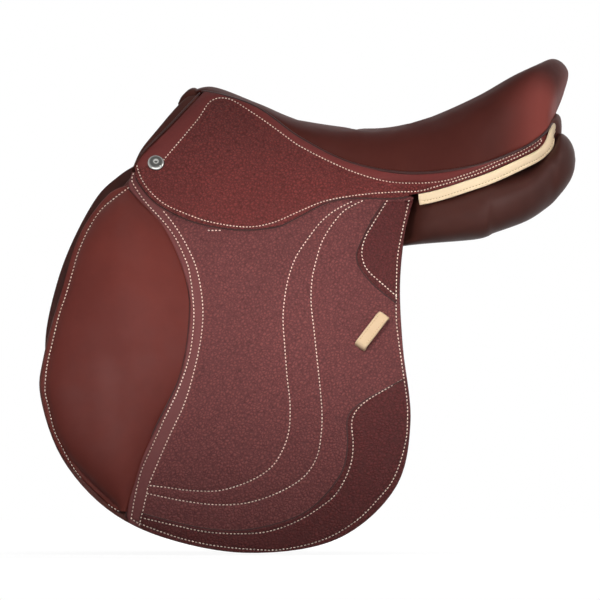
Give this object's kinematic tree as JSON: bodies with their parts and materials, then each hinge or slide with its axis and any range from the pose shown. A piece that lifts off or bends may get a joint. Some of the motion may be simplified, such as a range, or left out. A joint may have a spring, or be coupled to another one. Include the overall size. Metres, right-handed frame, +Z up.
{
  "type": "jumping saddle",
  "caption": "English jumping saddle with lifting flaps and skirts, padded knee blocks, stirrup bars, girth billets and panels on a rigid tree.",
  "frame": {"origin": "between the two panels, on the level where they bear on the back", "axes": "+X from pommel to cantle, +Y to the right side, +Z up"},
  "size_m": [0.5723, 0.4334, 0.529],
  "materials": {
    "tree_wood": "matt lacquer",
    "steel": "satin",
    "bright_metal": "polished",
    "webbing": "woven",
    "foam": "matt",
    "seat_leather": "smooth, soft sheen",
    "skirt_leather": "pebbled grain",
    "grain_leather": "pebbled grain",
    "strap_leather": "smooth",
    "block_leather": "smooth, soft sheen",
    "cream_leather": "smooth",
    "dark_leather": "smooth, soft sheen"
  },
  "bodies": {
    "saddle": {"tree_head": "tree_wood", "tree_rail_left": "tree_wood", "tree_rail_right": "tree_wood", "tree_cantle": "tree_wood", "head_plate": "steel", "gullet_plate": "steel", "spring_left": "steel", "spring_right": "steel", "tree_rivets": "steel", "seat_web_long": "webbing", "seat_web_cross": "webbing", "seat_foam": "foam", "seat_cover": "seat_leather", "skirt_top_left": "skirt_leather", "skirt_top_right": "skirt_leather", "pommel_nail_left": "bright_metal", "pommel_nail_right": "bright_metal", "pommel_facing": "dark_leather", "cantle_band": "cream_leather", "rear_facing": "dark_leather", "sweat_flap_left": "dark_leather", "sweat_flap_right": "dark_leather", "point_pocket_left": "strap_leather", "point_pocket_right": "strap_leather", "billet_webs_left": "webbing", "billet_webs_right": "webbing", "stirrup_bar_left": "steel", "stirrup_bar_right": "steel", "catch_pin_left": "bright_metal", "catch_pin_right": "bright_metal", "panel_cover_left": "dark_leather", "panel_cover_right": "dark_leather", "panel_core_left": "foam", "panel_core_right": "foam", "gullet_strip": "dark_leather"},
    "flap_left": {"flap_base_left": "strap_leather", "flap_panel_left": "grain_leather", "upper_patch_left": "grain_leather", "lower_patch_left": "grain_leather", "keeper_left": "cream_leather", "knee_cover_left": "block_leather", "knee_foam_left": "foam"},
    "flap_right": {"flap_base_right": "strap_leather", "flap_panel_right": "grain_leather", "upper_patch_right": "grain_leather", "lower_patch_right": "grain_leather", "keeper_right": "cream_leather", "knee_cover_right": "block_leather", "knee_foam_right": "foam"},
    "skirt_left": {"skirt_lobe_left": "skirt_leather"},
    "skirt_right": {"skirt_lobe_right": "skirt_leather"},
    "billet_front_left": {"billet_front_left": "strap_leather"},
    "billet_front_right": {"billet_front_right": "strap_leather"},
    "billet_rear_left": {"billet_rear_left": "strap_leather"},
    "billet_rear_right": {"billet_rear_right": "strap_leather"},
    "catch_left": {"stirrup_catch_left": "steel"},
    "catch_right": {"stirrup_catch_right": "steel"}
  },
  "joints": [
    {"name": "flap_lift_left", "type": "hinge", "parent": "saddle", "child": "flap_left", "pos_m": [-0.03, -0.102, 0.062], "axis": [-0.9962, 0, 0.0872], "range_deg": [0, 70]},
    {"name": "skirt_lift_left", "type": "hinge", "parent": "flap_left", "child": "skirt_left", "pos_m": [-0.03, -0.102, 0.062], "axis": [-0.9962, 0, 0.0872], "range_deg": [0, 45]},
    {"name": "billet_front_swing_left", "type": "hinge", "parent": "saddle", "child": "billet_front_left", "pos_m": [-0.042, -0.11324, -0.00495], "axis": [0.0377, -0.9017, 0.4308], "range_deg": [-6, 6]},
    {"name": "billet_rear_swing_left", "type": "hinge", "parent": "saddle", "child": "billet_rear_left", "pos_m": [0.048, -0.11324, -0.01282], "axis": [0.0377, -0.9017, 0.4308], "range_deg": [-6, 6]},
    {"name": "catch_turn_left", "type": "hinge", "parent": "saddle", "child": "catch_left", "pos_m": [-0.06494, -0.10859, 0.0447], "axis": [0.0409, -0.8829, 0.4677], "range_deg": [0, 75]},
    {"name": "flap_lift_right", "type": "hinge", "parent": "saddle", "child": "flap_right", "pos_m": [-0.03, 0.102, 0.062], "axis": [0.9962, 0, -0.0872], "range_deg": [0, 70]},
    {"name": "skirt_lift_right", "type": "hinge", "parent": "flap_right", "child": "skirt_right", "pos_m": [-0.03, 0.102, 0.062], "axis": [0.9962, 0, -0.0872], "range_deg": [0, 45]},
    {"name": "billet_front_swing_right", "type": "hinge", "parent": "saddle", "child": "billet_front_right", "pos_m": [-0.042, 0.11324, -0.00495], "axis": [0.0377, 0.9017, 0.4308], "range_deg": [-6, 6]},
    {"name": "billet_rear_swing_right", "type": "hinge", "parent": "saddle", "child": "billet_rear_right", "pos_m": [0.048, 0.11324, -0.01282], "axis": [0.0377, 0.9017, 0.4308], "range_deg": [-6, 6]},
    {"name": "catch_turn_right", "type": "hinge", "parent": "saddle", "child": "catch_right", "pos_m": [-0.06494, 0.10859, 0.0447], "axis": [-0.0409, -0.8829, -0.4677], "range_deg": [0, 75]}
  ]
}
